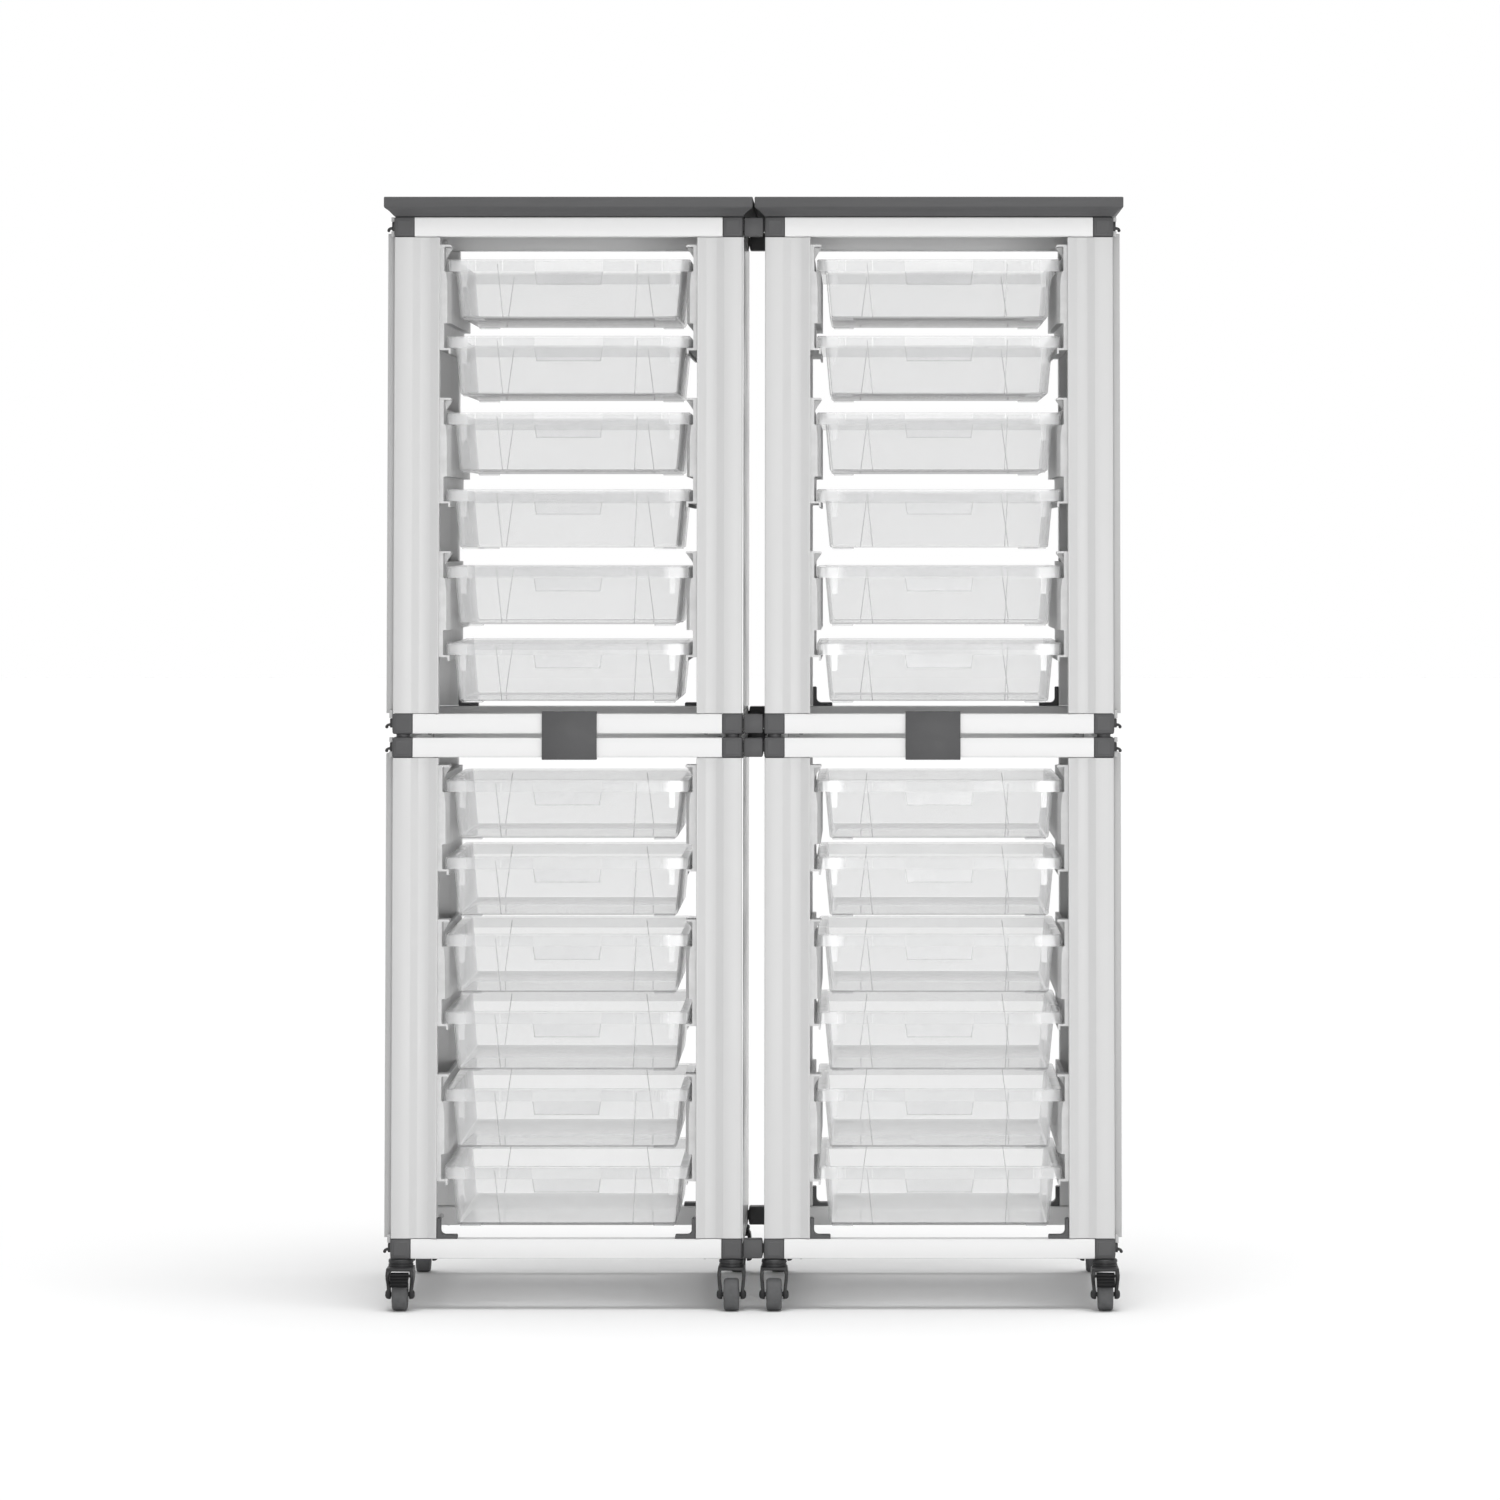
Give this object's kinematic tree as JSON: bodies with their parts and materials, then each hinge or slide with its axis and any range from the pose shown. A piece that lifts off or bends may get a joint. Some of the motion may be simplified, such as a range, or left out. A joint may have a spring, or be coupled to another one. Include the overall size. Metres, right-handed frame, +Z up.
{
  "type": "classroom tray storage unit",
  "caption": "Classroom storage unit of stacked white tube frames with clear pull-out trays on side runners, dark boards on top and swivel casters below.",
  "frame": {"origin": "on the floor under the middle of the unit", "axes": "+Z up, +X to the right seen from the front, the front faces -Y"},
  "size_m": [0.9456, 0.4982, 1.4132],
  "materials": {
    "white_steel": "satin white paint",
    "dark_board": "matt dark grey laminate",
    "clear_plastic": "clear moulded",
    "caster_plastic": "dark grey moulded",
    "wheel_rubber": "grey tread",
    "pedal_plastic": "black ribbed"
  },
  "bodies": {
    "frame": {"lower_left_top_ring": "white_steel", "lower_left_base_ring": "white_steel", "lower_left_outer_side": "white_steel", "lower_left_inner_side": "white_steel", "lower_right_top_ring": "white_steel", "lower_right_base_ring": "white_steel", "lower_right_outer_side": "white_steel", "lower_right_inner_side": "white_steel", "upper_left_top_ring": "white_steel", "upper_left_base_ring": "white_steel", "upper_left_outer_side": "white_steel", "upper_left_inner_side": "white_steel", "top_board_left": "dark_board", "upper_right_top_ring": "white_steel", "upper_right_base_ring": "white_steel", "upper_right_outer_side": "white_steel", "upper_right_inner_side": "white_steel", "top_board_right": "dark_board"},
    "lower_left_tray_1": {"lower_left_tray_1": "clear_plastic"},
    "lower_left_tray_2": {"lower_left_tray_2": "clear_plastic"},
    "lower_left_tray_3": {"lower_left_tray_3": "clear_plastic"},
    "lower_left_tray_4": {"lower_left_tray_4": "clear_plastic"},
    "lower_left_tray_5": {"lower_left_tray_5": "clear_plastic"},
    "lower_left_tray_6": {"lower_left_tray_6": "clear_plastic"},
    "lower_right_tray_1": {"lower_right_tray_1": "clear_plastic"},
    "lower_right_tray_2": {"lower_right_tray_2": "clear_plastic"},
    "lower_right_tray_3": {"lower_right_tray_3": "clear_plastic"},
    "lower_right_tray_4": {"lower_right_tray_4": "clear_plastic"},
    "lower_right_tray_5": {"lower_right_tray_5": "clear_plastic"},
    "lower_right_tray_6": {"lower_right_tray_6": "clear_plastic"},
    "upper_left_tray_1": {"upper_left_tray_1": "clear_plastic"},
    "upper_left_tray_2": {"upper_left_tray_2": "clear_plastic"},
    "upper_left_tray_3": {"upper_left_tray_3": "clear_plastic"},
    "upper_left_tray_4": {"upper_left_tray_4": "clear_plastic"},
    "upper_left_tray_5": {"upper_left_tray_5": "clear_plastic"},
    "upper_left_tray_6": {"upper_left_tray_6": "clear_plastic"},
    "upper_right_tray_1": {"upper_right_tray_1": "clear_plastic"},
    "upper_right_tray_2": {"upper_right_tray_2": "clear_plastic"},
    "upper_right_tray_3": {"upper_right_tray_3": "clear_plastic"},
    "upper_right_tray_4": {"upper_right_tray_4": "clear_plastic"},
    "upper_right_tray_5": {"upper_right_tray_5": "clear_plastic"},
    "upper_right_tray_6": {"upper_right_tray_6": "clear_plastic"},
    "fork_left_outer_front": {"fork_left_outer_front": "caster_plastic"},
    "wheel_left_outer_front": {"wheel_left_outer_front": "wheel_rubber"},
    "brake_pedal_left": {"brake_pedal_left": "pedal_plastic"},
    "fork_left_outer_back": {"fork_left_outer_back": "caster_plastic"},
    "wheel_left_outer_back": {"wheel_left_outer_back": "wheel_rubber"},
    "fork_left_inner_front": {"fork_left_inner_front": "caster_plastic"},
    "wheel_left_inner_front": {"wheel_left_inner_front": "wheel_rubber"},
    "fork_left_inner_back": {"fork_left_inner_back": "caster_plastic"},
    "wheel_left_inner_back": {"wheel_left_inner_back": "wheel_rubber"},
    "fork_right_outer_front": {"fork_right_outer_front": "caster_plastic"},
    "wheel_right_outer_front": {"wheel_right_outer_front": "wheel_rubber"},
    "brake_pedal_right": {"brake_pedal_right": "pedal_plastic"},
    "fork_right_outer_back": {"fork_right_outer_back": "caster_plastic"},
    "wheel_right_outer_back": {"wheel_right_outer_back": "wheel_rubber"},
    "fork_right_inner_front": {"fork_right_inner_front": "caster_plastic"},
    "wheel_right_inner_front": {"wheel_right_inner_front": "wheel_rubber"},
    "fork_right_inner_back": {"fork_right_inner_back": "caster_plastic"},
    "wheel_right_inner_back": {"wheel_right_inner_back": "wheel_rubber"}
  },
  "joints": [
    {"name": "lower_left_tray_1_slide", "type": "slide", "parent": "frame", "child": "lower_left_tray_1", "axis": [0, -1, 0], "range_m": [0, 0.455]},
    {"name": "lower_left_tray_2_slide", "type": "slide", "parent": "frame", "child": "lower_left_tray_2", "axis": [0, -1, 0], "range_m": [0, 0.455]},
    {"name": "lower_left_tray_3_slide", "type": "slide", "parent": "frame", "child": "lower_left_tray_3", "axis": [0, -1, 0], "range_m": [0, 0.455]},
    {"name": "lower_left_tray_4_slide", "type": "slide", "parent": "frame", "child": "lower_left_tray_4", "axis": [0, -1, 0], "range_m": [0, 0.455]},
    {"name": "lower_left_tray_5_slide", "type": "slide", "parent": "frame", "child": "lower_left_tray_5", "axis": [0, -1, 0], "range_m": [0, 0.455]},
    {"name": "lower_left_tray_6_slide", "type": "slide", "parent": "frame", "child": "lower_left_tray_6", "axis": [0, -1, 0], "range_m": [0, 0.455]},
    {"name": "lower_right_tray_1_slide", "type": "slide", "parent": "frame", "child": "lower_right_tray_1", "axis": [0, -1, 0], "range_m": [0, 0.455]},
    {"name": "lower_right_tray_2_slide", "type": "slide", "parent": "frame", "child": "lower_right_tray_2", "axis": [0, -1, 0], "range_m": [0, 0.455]},
    {"name": "lower_right_tray_3_slide", "type": "slide", "parent": "frame", "child": "lower_right_tray_3", "axis": [0, -1, 0], "range_m": [0, 0.455]},
    {"name": "lower_right_tray_4_slide", "type": "slide", "parent": "frame", "child": "lower_right_tray_4", "axis": [0, -1, 0], "range_m": [0, 0.455]},
    {"name": "lower_right_tray_5_slide", "type": "slide", "parent": "frame", "child": "lower_right_tray_5", "axis": [0, -1, 0], "range_m": [0, 0.455]},
    {"name": "lower_right_tray_6_slide", "type": "slide", "parent": "frame", "child": "lower_right_tray_6", "axis": [0, -1, 0], "range_m": [0, 0.455]},
    {"name": "upper_left_tray_1_slide", "type": "slide", "parent": "frame", "child": "upper_left_tray_1", "axis": [0, -1, 0], "range_m": [0, 0.455]},
    {"name": "upper_left_tray_2_slide", "type": "slide", "parent": "frame", "child": "upper_left_tray_2", "axis": [0, -1, 0], "range_m": [0, 0.455]},
    {"name": "upper_left_tray_3_slide", "type": "slide", "parent": "frame", "child": "upper_left_tray_3", "axis": [0, -1, 0], "range_m": [0, 0.455]},
    {"name": "upper_left_tray_4_slide", "type": "slide", "parent": "frame", "child": "upper_left_tray_4", "axis": [0, -1, 0], "range_m": [0, 0.455]},
    {"name": "upper_left_tray_5_slide", "type": "slide", "parent": "frame", "child": "upper_left_tray_5", "axis": [0, -1, 0], "range_m": [0, 0.455]},
    {"name": "upper_left_tray_6_slide", "type": "slide", "parent": "frame", "child": "upper_left_tray_6", "axis": [0, -1, 0], "range_m": [0, 0.455]},
    {"name": "upper_right_tray_1_slide", "type": "slide", "parent": "frame", "child": "upper_right_tray_1", "axis": [0, -1, 0], "range_m": [0, 0.455]},
    {"name": "upper_right_tray_2_slide", "type": "slide", "parent": "frame", "child": "upper_right_tray_2", "axis": [0, -1, 0], "range_m": [0, 0.455]},
    {"name": "upper_right_tray_3_slide", "type": "slide", "parent": "frame", "child": "upper_right_tray_3", "axis": [0, -1, 0], "range_m": [0, 0.455]},
    {"name": "upper_right_tray_4_slide", "type": "slide", "parent": "frame", "child": "upper_right_tray_4", "axis": [0, -1, 0], "range_m": [0, 0.455]},
    {"name": "upper_right_tray_5_slide", "type": "slide", "parent": "frame", "child": "upper_right_tray_5", "axis": [0, -1, 0], "range_m": [0, 0.455]},
    {"name": "upper_right_tray_6_slide", "type": "slide", "parent": "frame", "child": "upper_right_tray_6", "axis": [0, -1, 0], "range_m": [0, 0.455]},
    {"name": "fork_left_outer_front_swivel", "type": "hinge", "parent": "frame", "child": "fork_left_outer_front", "pos_m": [-0.447, -0.21, 0.06], "axis": [0, 0, 1], "continuous": true},
    {"name": "wheel_left_outer_front_spin", "type": "hinge", "parent": "fork_left_outer_front", "child": "wheel_left_outer_front", "pos_m": [-0.447, -0.226, 0.0205], "axis": [1, 0, 0], "continuous": true},
    {"name": "brake_pedal_left_hinge", "type": "hinge", "parent": "fork_left_outer_front", "child": "brake_pedal_left", "pos_m": [-0.447, -0.236, 0.0445], "axis": [1, 0, 0], "range_deg": [0, 10]},
    {"name": "fork_left_outer_back_swivel", "type": "hinge", "parent": "frame", "child": "fork_left_outer_back", "pos_m": [-0.447, 0.21, 0.06], "axis": [0, 0, 1], "continuous": true},
    {"name": "wheel_left_outer_back_spin", "type": "hinge", "parent": "fork_left_outer_back", "child": "wheel_left_outer_back", "pos_m": [-0.447, 0.226, 0.0205], "axis": [1, 0, 0], "continuous": true},
    {"name": "fork_left_inner_front_swivel", "type": "hinge", "parent": "frame", "child": "fork_left_inner_front", "pos_m": [-0.027, -0.21, 0.06], "axis": [0, 0, 1], "continuous": true},
    {"name": "wheel_left_inner_front_spin", "type": "hinge", "parent": "fork_left_inner_front", "child": "wheel_left_inner_front", "pos_m": [-0.027, -0.226, 0.0205], "axis": [1, 0, 0], "continuous": true},
    {"name": "fork_left_inner_back_swivel", "type": "hinge", "parent": "frame", "child": "fork_left_inner_back", "pos_m": [-0.027, 0.21, 0.06], "axis": [0, 0, 1], "continuous": true},
    {"name": "wheel_left_inner_back_spin", "type": "hinge", "parent": "fork_left_inner_back", "child": "wheel_left_inner_back", "pos_m": [-0.027, 0.226, 0.0205], "axis": [1, 0, 0], "continuous": true},
    {"name": "fork_right_outer_front_swivel", "type": "hinge", "parent": "frame", "child": "fork_right_outer_front", "pos_m": [0.447, -0.21, 0.06], "axis": [0, 0, 1], "continuous": true},
    {"name": "wheel_right_outer_front_spin", "type": "hinge", "parent": "fork_right_outer_front", "child": "wheel_right_outer_front", "pos_m": [0.447, -0.226, 0.0205], "axis": [1, 0, 0], "continuous": true},
    {"name": "brake_pedal_right_hinge", "type": "hinge", "parent": "fork_right_outer_front", "child": "brake_pedal_right", "pos_m": [0.447, -0.236, 0.0445], "axis": [1, 0, 0], "range_deg": [0, 10]},
    {"name": "fork_right_outer_back_swivel", "type": "hinge", "parent": "frame", "child": "fork_right_outer_back", "pos_m": [0.447, 0.21, 0.06], "axis": [0, 0, 1], "continuous": true},
    {"name": "wheel_right_outer_back_spin", "type": "hinge", "parent": "fork_right_outer_back", "child": "wheel_right_outer_back", "pos_m": [0.447, 0.226, 0.0205], "axis": [1, 0, 0], "continuous": true},
    {"name": "fork_right_inner_front_swivel", "type": "hinge", "parent": "frame", "child": "fork_right_inner_front", "pos_m": [0.027, -0.21, 0.06], "axis": [0, 0, 1], "continuous": true},
    {"name": "wheel_right_inner_front_spin", "type": "hinge", "parent": "fork_right_inner_front", "child": "wheel_right_inner_front", "pos_m": [0.027, -0.226, 0.0205], "axis": [1, 0, 0], "continuous": true},
    {"name": "fork_right_inner_back_swivel", "type": "hinge", "parent": "frame", "child": "fork_right_inner_back", "pos_m": [0.027, 0.21, 0.06], "axis": [0, 0, 1], "continuous": true},
    {"name": "wheel_right_inner_back_spin", "type": "hinge", "parent": "fork_right_inner_back", "child": "wheel_right_inner_back", "pos_m": [0.027, 0.226, 0.0205], "axis": [1, 0, 0], "continuous": true}
  ]
}
